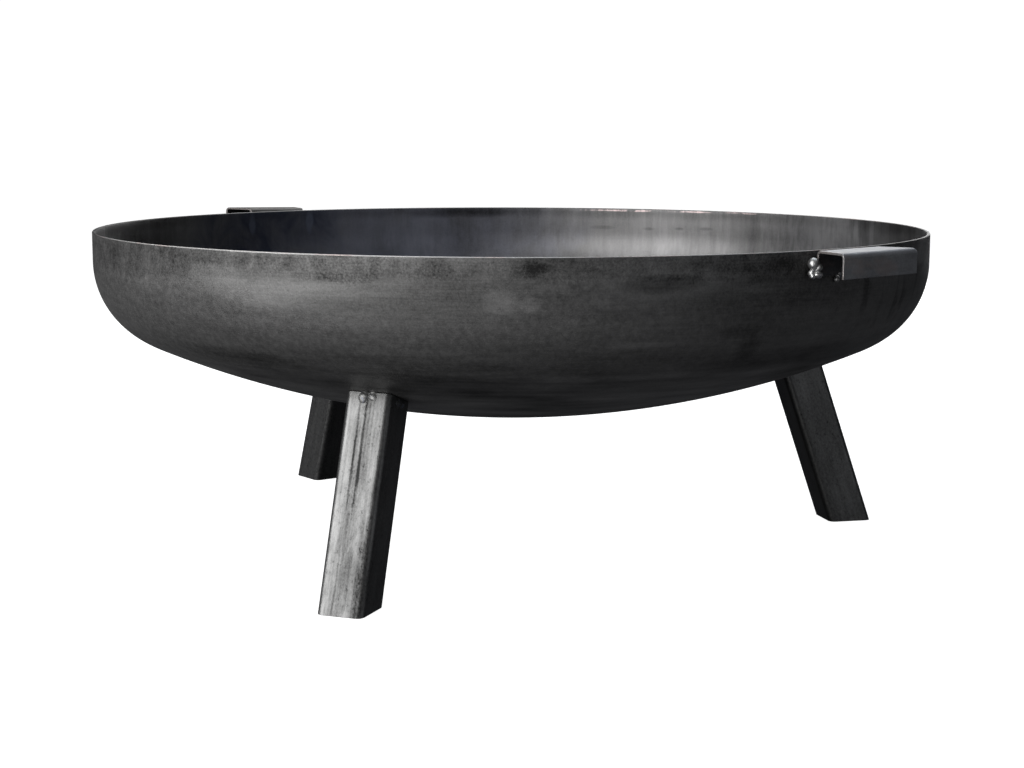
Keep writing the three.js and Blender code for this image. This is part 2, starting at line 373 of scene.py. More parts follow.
def painted(
    tone: Value, patches: Iterable[Patch], around: Value, height: Value, radius: float, raggedness: Value
) -> Value:
    """Adds each patch's mask, times its strength, to a tone.

    Args:
        tone: The tone to start from.
        patches: What is laid over it.
        around: The point's azimuth in radians.
        height: The point's height in metres.
        radius: The wall's radius in metres.
        raggedness: A pattern around 0 that roughens the patches' edges.

    Returns:
        The tone with the patches.
    """
    for patch in patches:
        tone = tone + patch.mask(around, height, radius, raggedness) * patch.strength
    return tone


@dataclass(frozen=True)
class BowlOutside:
    """Hot-rolled sheet after pressing: dark grainy scale, with painted highlight high on the front-left
    and painted shade on the right and low down.
    """

    base: Rgb = (0.200, 0.198, 0.196)
    rim_band: float = 0.284
    radius: float = 0.4
    # Of these ovals, the wide light ones at -117, -127 and -143 degrees paint highlight where the key light
    # falls, and the wide dark ones at -58 and -50 degrees on the right and at -129 and -114 degrees low down
    # paint shade.
    patches: tuple[Patch, ...] = ovals(
        (-117, 268, 90, 14, 0.20),
        (-127, 280, 42, 9, 0.20),
        (-143, 262, 60, 14, 0.10),
        (-103, 276, 120, 26, -0.30),
        (-91, 267, 17, 11, 0.40),
        (-87.8, 265, 11, 8, 0.30),
        (-87.6, 291, 16, 9, -0.40),
        (-73, 278, 40, 8, -0.42),
        (-58, 280, 110, 60, -0.24),
        (-62.2, 237, 22, 7, -0.30),
        (-60, 222, 14, 14, -0.32),
        (-74, 229, 40, 3, 0.30),
        (-129, 208, 80, 12, -0.30),
        (-114, 186, 90, 10, -0.30),
        (-75, 199, 90, 5, 0.25),
        (-50, 209, 120, 13, -0.45),
        (-22, 284, 48, 18, 0.50),
    )
    low_band: Patch = Patch(-146, 285, 120, 60, 0.016)
    wall_rise: tuple[float, float] = (0.238, 0.268)
    foot_fall: tuple[float, float] = (0.235, 0.175)
    drip_foot: tuple[float, float] = (0.205, 0.25)
    drip_head: tuple[float, float] = (0.292, 0.272)
    drip_azimuth: float = -33
    drip_spread: float = 16

    def material(self) -> bpy.types.Material:
        """Builds the finish's node tree.

        Returns:
            The finished material.
        """
        graph = Graph("bowl_outside_scale")
        where = graph.place()
        height = where.part(2)
        around = where.part(0).azimuth_with(where.part(1))
        cloud = graph.swing(where, 3, 5, 4, 0.55, 0.5)
        drift = graph.swing(where, 2, 14, 5, 0.62, 0.8)
        lobes = graph.swing(where, 0.6, 52, 4, 0.62, 0.6)
        streak = graph.swing(where, 13, 9, 5, 0.6)
        fine_streak = graph.swing(where, 30, 22, 4, 0.65)
        speckle = graph.swing(where, 1, 190, 4, 0.7)
        grain = graph.swing(where, 1, 560, 3, 0.75)
        lowered = self.low_band.mask(around, height, self.radius, drift * 0.5) * self.low_band.strength
        edge = height + drift * 0.040 + lobes * 0.020 + lowered
        band = edge.step(self.rim_band - 0.006, self.rim_band + 0.004)
        foot = (height + drift * 0.03).step(*self.foot_fall)
        rag = drift * 2.2 + streak * 0.8
        smear = 0.35 + foot * 1.1
        wall = height.step(*self.wall_rise)
        tone = 1 - wall * 0.25 + cloud * (0.7 + wall * 0.5) + drift * (0.14 + wall * 0.4)
        tone = tone + streak * smear * 1.3 + fine_streak * 0.36
        tone = painted(tone, self.patches, around, height, self.radius, rag)
        # Low on the bowl the foot mask adds mottle and paints 0.16 of shade.
        tone = tone + band * (lobes * 1 - 0.13) + foot * (cloud * 1.9 - 0.16)
        tone = tone + speckle * 0.55 + grain * (0.6 + band * 0.7)
        drips = graph.noise(where * (1, 1, 0.10), 70, 3, 0.6).step(0.48, 0.66)
        run = drips * height.step(*self.drip_foot) * height.step(*self.drip_head)
        beside = (around - math.radians(self.drip_azimuth)) * (1 / math.radians(self.drip_spread))
        tone = tone - run * (1 - beside * beside).clamped() * 0.45
        specks = grain.step(0.20, 0.24) * speckle.step(0.04, 0.12)
        hair = graph.swing(where, 1, 11, 2, 0.5, 1.5)
        scratch = (1 - (hair * 260) * (hair * 260)).clamped() * drift.step(0.10, 0.16)
        tone = tone + specks * 0.9 - scratch * 0.25
        waves = graph.relief(cloud + drift * 0.2, 0.45 * MM)
        return graph.surface(
            base_color=graph.colour(self.base).scaled(tone.between(0.15, 2.4)),
            metallic=0.85,
            roughness=0.52 + band * 0.05 + speckle * 0.35 - cloud * 0.15,
            normal=graph.relief(speckle * 0.5 + grain * 0.5, 0.22 * MM, waves),
        )


@dataclass(frozen=True)
class BowlInside:
    """The bowl's inner face: cleaner steel with faint upright draw marks and heat marks.

    The heat marks are where the handles are welded on behind the wall: blue-black all around, with
    a pale run below each bead.
    """

    bare: Rgb = (0.185, 0.183, 0.183)
    blued: Rgb = (0.028, 0.036, 0.066)
    bluish: Rgb = (0.172, 0.178, 0.212)
    radius: float = 0.397
    bead_half_angle: float = 5.6
    handle_azimuths: tuple[float, float] = (131.4, -46.8)
    # Of these ovals, the big light one at 33 degrees paints the key light on the far wall that faces it, and
    # the big dark one at 168 degrees paints shade on the left wall, which faces away.
    patches: tuple[Patch, ...] = ovals(
        (99, 294, 75, 7, -0.45),
        (74, 277.5, 16, 3, -0.25),
        (66, 277, 9, 2.5, -0.35),
        (60.5, 278, 7, 2, -0.35),
        (55.5, 279, 10, 2.2, -0.30),
        (33, 285, 85, 60, 0.75),
        (104, 275, 60, 40, 0.35),
        (72, 285, 50, 40, -0.14),
        (18.5, 287, 7, 20, 0.60),
        (23, 287, 5, 16, 0.40),
        (4, 285, 85, 60, -0.50),
        (168, 283, 130, 80, -0.62),
    )
    rim_shade: float = 0.293
    cool_area: Patch = Patch(112, 275, 250, 90, 1)
    pale_run: Rgb = (0.17, 0.19, 0.25)
    burr_bloom: Rgb = (0.62, 0.50, 0.49)
    burr: tuple[Patch, ...] = ovals(
        (69, 297.6, 62, 1.3, 1),
        (57.5, 298, 22, 1.1, 1),
        (49, 298.4, 26, 1, 1),
    )

    def material(self) -> bpy.types.Material:
        """Builds the finish's node tree.

        Returns:
            The finished material.
        """
        graph = Graph("bowl_inside_scale")
        where = graph.place()
        height = where.part(2)
        around = where.part(0).azimuth_with(where.part(1))
        cloud = graph.swing(where, 1.5, 6, 4, 0.55, 0.3)
        drift = graph.swing(where, 1, 22, 4, 0.6, 0.8)
        upright = graph.swing(where, 0.10, 60, 3, 0.6)
        fine = graph.swing(where, 0.15, 260, 3, 0.6)
        grain = graph.swing(where, 1, 520, 2, 0.7)
        rag = drift * 1.6 + fine * 0.8
        cool = self.cool_area.mask(around, height, self.radius, drift)
        drawn = 1 - cool * 0.6
        tone = 1 + cloud * 1.2 + drift * 0.5 + (upright * 0.8 + fine * 0.5) * drawn + grain * 0.4
        tone = painted(tone, self.patches, around, height, self.radius, rag)
        tone = tone - (height + drift * 0.012).step(self.rim_shade - 0.008, self.rim_shade + 0.002) * 0.30
        heat, run, burr = graph.number(0), graph.number(0), graph.number(0)
        for azimuth in self.handle_azimuths:
            heated = Patch(azimuth + 4, 275, 115, 70, 1)
            heat = heat + heated.mask(around, height, self.radius, drift * 1.2)
            for side in (-1, 1):
                bead = Patch(azimuth + side * self.bead_half_angle, 285, 5, 15, 1)
                run = run + bead.mask(around, height, self.radius, drift * 4)
        colour = graph.colour(self.bare).toward(self.bluish, cool).scaled(tone.between(0.15, 2))
        colour = colour.toward(self.blued, (heat * (0.9 + drift * 1.4)).clamped() * 0.85)
        colour = colour.toward(self.pale_run, run.clamped() * 0.6)
        for patch in self.burr:
            burr = burr + patch.mask(around, height, self.radius, fine * 2)
        colour = colour.toward(self.burr_bloom, burr.clamped() * drift.step(-0.06, 0.02) * 0.9)
        return graph.surface(
            base_color=colour,
            metallic=0.9,
            roughness=0.46 + cloud * 0.3 + grain * 0.2,
            normal=graph.relief(grain * 0.5 + fine * 0.5, 0.12 * MM, graph.relief(cloud, 1 * MM)),
        )


@dataclass(frozen=True)
class CutEdge:
    """A sheared or sawn edge: bright, lightly scored, with a trace of rust bloom."""

    name: str
    bare: Rgb = (0.56, 0.555, 0.55)
    bloom: Rgb = (0.46, 0.40, 0.38)
    radius: float = 0.4
    patches: tuple[Patch, ...] = ()

    def material(self) -> bpy.types.Material:
        """Builds the finish's node tree.

        Returns:
            The finished material.
        """
        graph = Graph(self.name)
        where = graph.place()
        score = graph.noise(where * (1, 1, 0.3), 420, 3, 0.6)
        bloom = graph.noise(where, 26, 3, 0.6).step(0.50, 0.64)
        tone = 0.7 + score * 0.6
        around = where.part(0).azimuth_with(where.part(1))
        # On the bowl's rim these patches paint highlight and shade.
        tone = painted(tone, self.patches, around, where.part(2), self.radius, score * 0.3)
        colour = graph.colour(self.bare).toward(self.bloom, bloom * 0.6).scaled(tone.between(0.1, 3))
        return graph.surface(
            base_color=colour,
            metallic=0.9,
            roughness=0.30 + score * 0.2,
            normal=graph.relief(score, 0.06 * MM),
        )


@dataclass(frozen=True)
class DrawnTube:
    """Drawn square tube: lengthwise die lines, duller patches, fine pitting and a mottled lower half,
    with painted shade over the inward face and towards one side of the outward face.

    The pattern's own axes are out of the outward face, across it, and up along the tube.
    """

    name: str
    turn: Euler
    shift: Point
    offset: float = 0
    tint: Rgb = (0.127, 0.127, 0.126)
    half_side: float = 21 * MM
    line_places: tuple[float, float] = (-6 * MM, 0)
    line_half_width: float = 1.5 * MM
    line_end: float = 0.068

    def material(self) -> bpy.types.Material:
        """Builds the finish's node tree.

        Returns:
            The finished material.
        """
        graph = Graph(self.name)
        along = graph.place(self.turn, self.shift)
        out, across, up = along.part(0), along.part(1), along.part(2)
        grown = along + (self.offset, 0, 0)
        broad = graph.swing(grown, 0.08, 85, 3, 0.6)
        narrow = graph.swing(grown, 0.035, 330, 3, 0.6)
        cloud = graph.swing(grown, 0.5, 45, 5, 0.65, 0.5)
        grain = graph.swing(grown, 0.7, 480, 3, 0.75)
        pits = graph.noise(grown, 260, 3, 0.7).step(0.58, 0.70)
        worn = out.step(0.6 * self.half_side, 0.95 * self.half_side)
        rubbed = up.step(0.095, 0.040) * across.step(-5 * MM, -12 * MM) * (0.7 + cloud * 1.6)
        tone = 1 + (broad * 2.4 + narrow * 1.2) * (0.35 + worn * 0.65) + grain * 1.5
        tone = tone + cloud * (0.7 + up.step(0.14, 0.06) * 0.8) - pits * 0.35
        outward = out.step(0.8 * self.half_side, 0.95 * self.half_side)
        tone = tone + rubbed * outward * 0.45
        for place in self.line_places:
            beside = (across - place + narrow * 0.002) * (1 / self.line_half_width)
            line = (1 - beside * beside).clamped() * (up + cloud * 0.1).step(self.line_end, 0.095)
            tone = tone - line * outward * 0.66
        # Painted shade: the inward face is 0.72 darker, and the outward face grows up to 0.20 darker across
        # towards one side.
        inner = out.step(-0.8 * self.half_side, -0.95 * self.half_side)
        tone = tone * (1 - inner * 0.72) - across.step(-2 * MM, 18 * MM) * outward * 0.20
        return graph.surface(
            base_color=graph.colour(self.tint).scaled(tone.between(0.12, 2.2)),
            metallic=0.95,
            roughness=0.42 - cloud * 0.3 + grain * 0.25,
            normal=graph.relief(grain * 0.6 + narrow * 0.4 - pits * 0.3, 0.16 * MM),
        )


@dataclass(frozen=True)
class BentSheet:
    """Blue-grey cold-rolled sheet, folded: smooth scale, darker and warmer on top, with painted
    highlight on the bends and painted shade inside the channel.
    """

    name: str
    turn: Euler
    shift: Point
    scale: Rgb = (0.300, 0.306, 0.322)
    bloom: Rgb = (0.42, 0.33, 0.30)

    def material(self) -> bpy.types.Material:
        """Builds the finish's node tree.

        Returns:
            The finished material.
        """
        graph = Graph(self.name)
        along = graph.place(self.turn, self.shift)
        cloud = graph.swing(along, 1, 38, 4, 0.6, 0.3)
        grain = graph.swing(along, 1, 520, 3, 0.75)
        brushed = graph.swing(along, 0.08, 300, 3, 0.6)
        fold = graph.attribute("bend")
        bend, channel_inside_shade = fold.clamped(), fold.step(-0.2, -0.8)
        rust = graph.noise(along * (1, 1, 0.5), 30, 4, 0.6).step(0.54, 0.68)
        top = along.part(1).step(-3 * MM, -1 * MM)
        # bend * 0.9 is a painted highlight on the bends.
        tone = 1 + bend * 0.9 + cloud * 0.8 + brushed * 0.6 + grain * 0.9 - top * 0.12
        # Painted shade: the inside of the channel is 0.6 darker.
        tone = tone * (1 - channel_inside_shade * 0.6)
        warm = rust * 0.35 + top * along.part(2).step(-15 * MM, 25 * MM) * 0.5
        colour = graph.colour(self.scale).scaled(tone.between(0.2, 2.6)).toward(self.bloom, warm)
        return graph.surface(
            base_color=colour,
            metallic=0.9,
            roughness=0.47 + cloud * 0.2 + grain * 0.2 - bend * 0.08,
            normal=graph.relief(grain * 0.5 + brushed * 0.5, 0.10 * MM),
        )


@dataclass(frozen=True)
class WeldMetal:
    """A bare weld bead: bright ripples with dark slag in the hollows and a blue heat tint."""

    name: str = "weld_metal_bare"
    bright: Rgb = (0.62, 0.62, 0.61)
    slag: Rgb = (0.05, 0.045, 0.04)
    tint: Rgb = (0.20, 0.22, 0.30)
    roughness: float = 0.20

    def material(self) -> bpy.types.Material:
        """Builds the finish's node tree.

        Returns:
            The finished material.
        """
        graph = Graph(self.name)
        where = graph.place()
        blotch = graph.noise(where, 320, 3, 0.6, 0.5)
        fine = graph.noise(where, 1200, 2, 0.6)
        colour = graph.colour(self.bright).toward(self.tint, blotch.step(0.52, 0.66) * 0.7)
        colour = colour.toward(self.slag, blotch.step(0.60, 0.74))
        return graph.surface(
            base_color=colour.scaled(0.8 + fine * 0.4),
            metallic=0.95,
            roughness=self.roughness + blotch * 0.35,
            normal=graph.relief(blotch * 0.7 + fine * 0.3, 0.45 * MM),
        )


@dataclass(frozen=True)
class BarSteel:
    """Hot-rolled round bar: dark scale that has flaked to paler steel in places."""

    scale: Rgb = (0.060, 0.058, 0.058)
    flaked: Rgb = (0.20, 0.19, 0.18)
    rust: Rgb = (0.16, 0.085, 0.055)

    def material(self) -> bpy.types.Material:
        """Builds the finish's node tree.

        Returns:
            The finished material.
        """
        graph = Graph("bar_steel_scale")
        where = graph.place()
        cloud = graph.noise(where, 42, 5, 0.62, 0.4)
        grain = graph.noise(where, 600, 2, 0.7)
        flakes = graph.noise(where, 150, 4, 0.65).step(0.56, 0.64)
        rust = graph.noise(where, 17, 4, 0.6).step(0.56, 0.70) * grain.step(0.42, 0.6)
        colour = graph.colour(self.scale).toward(self.flaked, (flakes * cloud.step(0.40, 0.62)).clamped())
        colour = colour.toward(self.rust, rust * 0.45).scaled(0.75 + grain * 0.5)
        return graph.surface(
            base_color=colour,
            metallic=0.75,
            roughness=0.50 + cloud * 0.2 - flakes * 0.1,
            normal=graph.relief(grain * 0.5 + flakes * 0.5, 0.12 * MM),
        )


# ---------- meshes


@dataclass
class Shape:
    """Vertices and faces gathered for one piece, grid by grid."""

    vertices: list[Array] = field(default_factory=list)
    quads: list[Array] = field(default_factory=list)
    triangles: list[Array] = field(default_factory=list)
    quad_slots: list[Array] = field(default_factory=list)
    triangle_slots: list[Array] = field(default_factory=list)
    marks: list[Array] = field(default_factory=list)
    count: int = 0

    def add_grid(
        self,
        points: Array,
        closed_rows: bool = False,
        closed_columns: bool = True,
        slots: Array | None = None,
        marks: Array | None = None,
    ) -> None:
        """Adds a surface given as a grid of points, with a pole over each open end of its rows.

        A face joins the points (i, j), (i, j + 1), (i + 1, j + 1) and (i + 1, j), and the next of a
        last row or column is the first one where that direction is closed. An open end of the rows
        is shut by a fan to the mean of its row.

        Args:
            points: Rows by columns by 3.
            closed_rows: The last row joins the first.
            closed_columns: The last column joins the first.
            slots: The material slot of each row of faces, or None for the first slot.
            marks: A number for each point, rows by columns, or None for 0.
        """
        rows, columns = points.shape[:2]
        index = self.count + np.arange(rows * columns).reshape(rows, columns)
        across = np.concatenate([index, index[:, :1]], axis=1) if closed_columns else index
        around = np.concatenate([across, across[:1]]) if closed_rows else across
        faces = np.stack([around[:-1, :-1], around[:-1, 1:], around[1:, 1:], around[1:, :-1]], axis=-1)
        row_slots = np.zeros(faces.shape[0], int) if slots is None else slots[: faces.shape[0]]
        self.vertices.append(points.reshape(-1, 3))
        self.quads.append(faces.reshape(-1, 4))
        self.quad_slots.append(np.repeat(row_slots, faces.shape[1]))
        self.marks.append(np.zeros(rows * columns) if marks is None else marks.reshape(-1))
        self.count += rows * columns
        if not closed_rows:
            self._add_pole(across[0], points[0].mean(axis=0), False, int(row_slots[0]))
            self._add_pole(across[-1], points[-1].mean(axis=0), True, int(row_slots[-1]))

    def index_of(self, size: tuple[int, int]) -> Array:
        """The vertex numbers of the grid that was added last, rows by columns."""
        rows, columns = size
        return self.count - rows * columns + np.arange(rows * columns).reshape(rows, columns)

    def add_strip(self, index: Array, half: int, slot: int) -> None:
        """Shuts the two open sides of a band whose second half of rows runs back along its first.

        A face joins two neighbours of the first half with the rows that lie behind them.

        Args:
            index: The band's vertex numbers, rows by columns.
            half: How many rows run out before they run back.
            slot: The faces' material slot.
        """
        for column, outer_first in ((0, True), (index.shape[1] - 1, False)):
            face, back = index[:half, column], index[half:, column][::-1]
            corners = (face[:-1], face[1:], back[1:], back[:-1])
            strip = np.stack(corners if outer_first else corners[::-1], axis=-1)
            self.quads.append(strip)
            self.quad_slots.append(np.full(len(strip), slot))

    def _add_pole(self, ring: Array, pole: Array, last: bool, slot: int) -> None:
        """Shuts one open ring with a fan of triangles to a pole.

        Args:
            ring: The ring's vertex numbers, with the first again at the end.
            pole: The pole's place.
            last: The ring is the grid's last row, so the fan faces the other way.
            slot: The triangles' material slot.
        """
        first, second = ring[:-1], ring[1:]
        fan = (first, second) if last else (second, first)
        self.vertices.append(pole.reshape(1, 3))
        self.triangles.append(np.stack([*fan, np.full(first.shape, self.count)], axis=-1))
        self.triangle_slots.append(np.full(first.shape, slot))
        self.marks.append(np.zeros(1))
        self.count += 1

    def _outward(self, vertices: Array, quads: Array, triangles: Array) -> bool:
        """True if the faces look outward, which is when the volume that they enclose is above 0."""
        corners = np.concatenate([quads[:, [0, 1, 2]], quads[:, [0, 2, 3]], triangles])
        a, b, c = (vertices[corners[:, k]] for k in range(3))
        return float(np.einsum("ij,ij->i", a, np.cross(b, c)).sum()) > 0.0

    def mesh(self, name: str, sharp_degrees: float) -> bpy.types.Mesh:
        """The mesh of all that was added.

        Args:
            name: The mesh's name.
            sharp_degrees: Edges that turn more than this are drawn sharp.

        Returns:
            The mesh, with its faces looking outward.
        """
        vertices = np.concatenate(self.vertices)
        quads = np.concatenate(self.quads)
        triangles = np.concatenate(self.triangles) if self.triangles else np.zeros((0, 3), int)
        if not self._outward(vertices, quads, triangles):
            quads, triangles = quads[:, ::-1], triangles[:, ::-1]
        mesh = bpy.data.meshes.new(name)
        mesh.from_pydata(vertices.tolist(), [], quads.tolist() + triangles.tolist())
        slots = np.concatenate([*self.quad_slots, *self.triangle_slots]).astype(np.int32)
        mesh.polygons.foreach_set("material_index", slots)
        mark = mesh.attributes.new("bend", "FLOAT", "POINT")
        mark.data.foreach_set("value", np.concatenate(self.marks).astype(np.float32))
        mesh.shade_smooth()
        mesh.set_sharp_from_angle(angle=math.radians(sharp_degrees))
        mesh.validate()
        mesh.update()
        return mesh


@dataclass(frozen=True)
class Piece:
    """One finished piece: its name, the body that it rides on and the CAD nodes that it stands for."""

    name: str
    body: str
    slot: Slot
    nodes: tuple[str, ...]
    materials: tuple[bpy.types.Material, ...]
    sharp_degrees: float = 40.0
    bevel: float = 0.0

    def make(self, shape: Shape) -> None:
        """Turns a shape into the piece, riding on its body.

        Args:
            shape: Its vertices and faces, in the frame's own place.
        """
        mesh = shape.mesh(self.name, self.sharp_degrees)
        for material in self.materials:
            mesh.materials.append(material)
        thing = bpy.data.objects.new(self.name, mesh)
        bpy.context.scene.collection.objects.link(thing)
        if self.bevel:
            edge = thing.modifiers.new("broken_edges", "BEVEL")
            edge.width = self.bevel
            edge.segments = 2
            edge.limit_method = "ANGLE"
            edge.angle_limit = math.radians(50.0)
        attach(thing, self.body)
        if self.nodes:
            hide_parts(*self.nodes)
        log.info("%s: %d vertices on %s", self.name, len(mesh.vertices), self.body)

    def make_from(self, points: Array) -> None:
        """Turns one closed grid of points into the piece."""
        shape = Shape()
        shape.add_grid(points)
        self.make(shape)


def unit(vector: Array) -> Array:
    """vector scaled to a length of 1, along its last axis."""
    return vector / np.linalg.norm(vector, axis=-1, keepdims=True)


def pattern_frame(axes: Sequence[Array], origin: Array) -> tuple[Euler, Vector]:
    """The turn and shift that take object coordinates to a piece's own axes and origin."""
    turn = Matrix(axes)
    return turn.to_euler("XYZ"), -(turn @ Vector(origin))


def revolved(radius: Array, height: Array, angle: Array) -> Array:
    """The points (r cos a, r sin a, z): rows for the radii and heights, columns for the angles."""
    return np.stack(np.broadcast_arrays(radius * np.cos(angle), radius * np.sin(angle), height), axis=-1)


def smoothstep(value: Array, low: float, high: float) -> Array:
    """0 below low, 1 above high, and 3t^2 - 2t^3 between, with t the share of the way."""
    share = np.clip((value - low) / (high - low), 0.0, 1.0)
    return share * share * (3.0 - 2.0 * share)


def rod(path: Array, plane_normal: Sequence[float], radius: float, sides: int) -> Array:
    """A round rod: a circle carried along a path that lies in a plane.

    Each circle is spanned by the plane's normal and by the cross product of the path's direction
    with it. The rod ends in flat faces with a small chamfer.

    Args:
        path: Points of the centre line, n by 3, evenly enough spaced for their differences.
        plane_normal: The normal of the path's plane.
        radius: The rod's radius.
        sides: Points around each circle.

    Returns:
        The grid of points.
    """
    chamfer = CHAMFER_SHARE * radius
    first, last = unit(path[1] - path[0]), unit(path[-1] - path[-2])
    head, tail = path[:1] + first * chamfer, path[-1:] - last * chamfer
    path = np.concatenate([path[:1], head, path[1:-1], tail, path[-1:]])
    radii = np.full(len(path), radius)
    radii[[0, -1]] -= chamfer
    forward = np.gradient(path, axis=0)
    forward[:2], forward[-2:] = first, last
    normal = unit(np.asarray(plane_normal, float))
    side = unit(np.cross(forward, normal))
    angle = np.linspace(0.0, 2.0 * math.pi, sides, endpoint=False)
    spokes = np.cos(angle)[None, :, None] * side[:, None, :] + np.sin(angle)[None, :, None] * normal
    return path[:, None, :] + radii[:, None, None] * spokes


@dataclass(frozen=True)
class Lump:
    """One round drop of weld metal."""

    centre: Point
    radius: float


def bead(lumps: Sequence[Lump], seed: int, rows: int, columns: int) -> Array:
    """A weld bead: the outline of several drops that have run together.

    From the mean of their centres, every direction's reach is the farthest point at which it leaves
    any drop, softened between drops, with fine ripples on top: a sum of six waves over the direction
    whose pitches and phases come from the seed.

    Args:
        lumps: The drops; each reaches past the mean of all centres.
        seed: Seeds the ripples.
        rows: Rows of points from pole to pole.
        columns: Points around.

    Returns:
        The grid of points.
    """
    centres = np.array([lump.centre for lump in lumps])
    radii = np.array([lump.radius for lump in lumps])
    middle = centres.mean(axis=0)
    polar = (np.arange(rows) + 0.5) / rows * math.pi
    turn = np.linspace(0.0, 2.0 * math.pi, columns, endpoint=False)
    polar, turn = np.meshgrid(polar, turn, indexing="ij")
    heading = np.stack([np.sin(polar) * np.cos(turn), np.sin(polar) * np.sin(turn), np.cos(polar)], axis=-1)
    offset = centres - middle
    along = heading @ offset.T
    inside = along**2 - (offset**2).sum(axis=1) + radii**2
    reach = along + np.sqrt(np.maximum(inside, 0.0))
    softness = BEAD_SOFTNESS * radii.mean()
    reach = softness * np.log(np.exp(reach / softness).sum(axis=-1))
    random = np.random.default_rng(seed)
    pitch = random.uniform(3.0, 9.0, (6, 3))
    phase = random.uniform(0.0, 2.0 * math.pi, 6)
    ripple = np.sin(heading @ pitch.T + phase).sum(axis=-1) * BEAD_RIPPLE * radii.mean()
    return middle + heading * (reach + ripple)[..., None]


# ---------- the bowl


@dataclass
class Dish:
    """The bowl's section: a crown arc, a knuckle arc and a straight skirt up to the rim."""

    wall: float = 3.0 * MM
    skirt: float = 28.0 * MM
    knuckle: float = 82.0 * MM
    crown: float = 862.0 * MM

    def __post_init__(self) -> None:
        """Takes the rim's radius and height from the CAD bowl and works out the arcs' centres."""
        low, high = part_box("fire_bowl")
        self.radius = high.x
        self.rim = high.z
        self.knuckle_at = np.array([self.radius - self.knuckle, self.rim - self.skirt])
        rise = math.sqrt((self.crown - self.knuckle) ** 2 - self.knuckle_at[0] ** 2)
        self.crown_height = float(self.knuckle_at[1] + rise)
        self.tangent = math.atan2(self.knuckle_at[0], rise)

    def line(self, inset: float, crown_steps: int, knuckle_steps: int, skirt_steps: int) -> Array:
        """The section's line from near the axis up to just under the rim.

        Args:
            inset: How far inside the outer face it runs.
            crown_steps: Points on the crown arc.
            knuckle_steps: Points on the knuckle arc.
            skirt_steps: Points on the skirt.

        Returns:
            Radius and height of each point, n by 2.
        """
        crown = self.crown - inset
        knuckle = self.knuckle - inset
        low = self.tangent * (np.arange(crown_steps) + 0.5) / crown_steps
        turn = np.linspace(self.tangent, math.pi / 2.0, knuckle_steps)
        up = np.linspace(self.knuckle_at[1], self.rim, skirt_steps + 1)[1:]
        crown_arc = np.stack([crown * np.sin(low), self.crown_height - crown * np.cos(low)], axis=1)
        knuckle_arc = self.knuckle_at + knuckle * np.stack([np.sin(turn), -np.cos(turn)], axis=1)
        skirt = np.stack([np.full_like(up, self.radius - inset), up], axis=1)
        return np.concatenate([crown_arc, knuckle_arc, skirt])

    def height_under(self, points: Array, axis: Array, inset: float) -> Array:
        """How far along an axis lines from given points meet the crown sphere, from below.

        The distance t solves |p + t a - c| = R, with c the crown's centre, and the lower one counts.

        Args:
            points: Starting points, n by 3.
            axis: The lines' common unit direction.
            inset: How far inside the outer face the sphere lies.

        Returns:
            The distances.
        """
        away = points - np.array([0.0, 0.0, self.crown_height])
        half = away @ axis
        return -half - np.sqrt(half**2 - (away**2).sum(axis=1) + (self.crown - inset) ** 2)


@dataclass
class Bowl:
    """The dished bowl, one sheet with a cut rim."""

    dish: Dish
    turns: int = 400
    steps: tuple[int, int, int] = (44, 26, 6)
    rim_round: float = 1.1 * MM
    dent: float = 0.12 * MM
    dent_rise: tuple[float, float] = (0.05, 0.25)
    waves: tuple[tuple[float, float], ...] = ((5.0, 14.0), (3.0, -21.0))
    rim_bare: Rgb = (0.26, 0.255, 0.25)
    rim_bloom: Rgb = (0.28, 0.22, 0.205)
    # Painted highlight along the front-left of the rim, where the key light catches its edge, and painted
    # shade on the left and the right.
    rim_highlight_and_shade: tuple[Patch, ...] = ovals(
        (-118, 299, 250, 30, 1.5),
        (-168, 299, 90, 30, -0.75),
        (168, 299, 160, 30, -0.75),
        (-14, 299, 250, 30, -0.80),
    )

    def section(self) -> tuple[Array, Array]:
        """The closed section from the axis out under the bowl, over the rim and back inside.

        The rim's two corners are quarter circles of the rim's rounding.

        Returns:
            The points, n by 2, and each point's material slot.
        """
        outside = self.dish.line(0.0, *self.steps)
        inside = self.dish.line(self.dish.wall, *self.steps)[::-1]
        outside[-1, 1] -= self.rim_round
        inside[0, 1] -= self.rim_round
        quarter = np.linspace(0.0, math.pi / 2.0, 5)[1:]
        swing = self.rim_round * np.stack([np.cos(quarter), np.sin(quarter)], axis=1)
        top = self.dish.rim - self.rim_round
        outer_corner = np.array([self.dish.radius - self.rim_round, top]) + swing
        inner_corner = np.array([self.dish.radius - self.dish.wall + self.rim_round, top])
        inner_corner = inner_corner + swing[::-1] * (-1.0, 1.0)
        inner_corner[:, 0] = np.minimum(inner_corner[:, 0], outer_corner[-1, 0])
        points = np.concatenate([outside, outer_corner, inner_corner, inside])
        counts = (len(outside), len(outer_corner) + len(inner_corner) - 1, len(inside) + 1)
        return points, np.repeat([0, 2, 1], counts)

    def build(self) -> Shape:
        """Turns the section about the upright axis.

        Every point of the section goes round in even steps. The face is pressed in by at most the
        dent's depth, times half of 1 plus the product of two sines of the angle and the height.

        Returns:
            The bowl's shape.
        """
        section, slots = self.section()
        angle = np.linspace(0.0, 2.0 * math.pi, self.turns, endpoint=False)
        radius, height = section[:, :1], section[:, 1:]
        first, second = (np.sin(around * angle + upward * height) for around, upward in self.waves)
        pressed = self.dent * (0.5 + 0.5 * first * second) * smoothstep(radius, *self.dent_rise)
        shape = Shape()
        shape.add_grid(revolved(radius - pressed, height, angle), slots=slots)
        return shape

    def dress(self) -> tuple[bpy.types.Material, ...]:
        """The outside, the inside and the cut rim."""
        rim = CutEdge("rim_cut_edge", self.rim_bare, self.rim_bloom, patches=self.rim_highlight_and_shade)
        return BowlOutside().material(), BowlInside().material(), rim.material()

    def make(self) -> None:
        """Builds the piece."""
        Piece("bowl_sheet", FIXED_BODY, Slot.BOWL, ("fire_bowl",), self.dress()).make(self.build())


# ---------- the legs


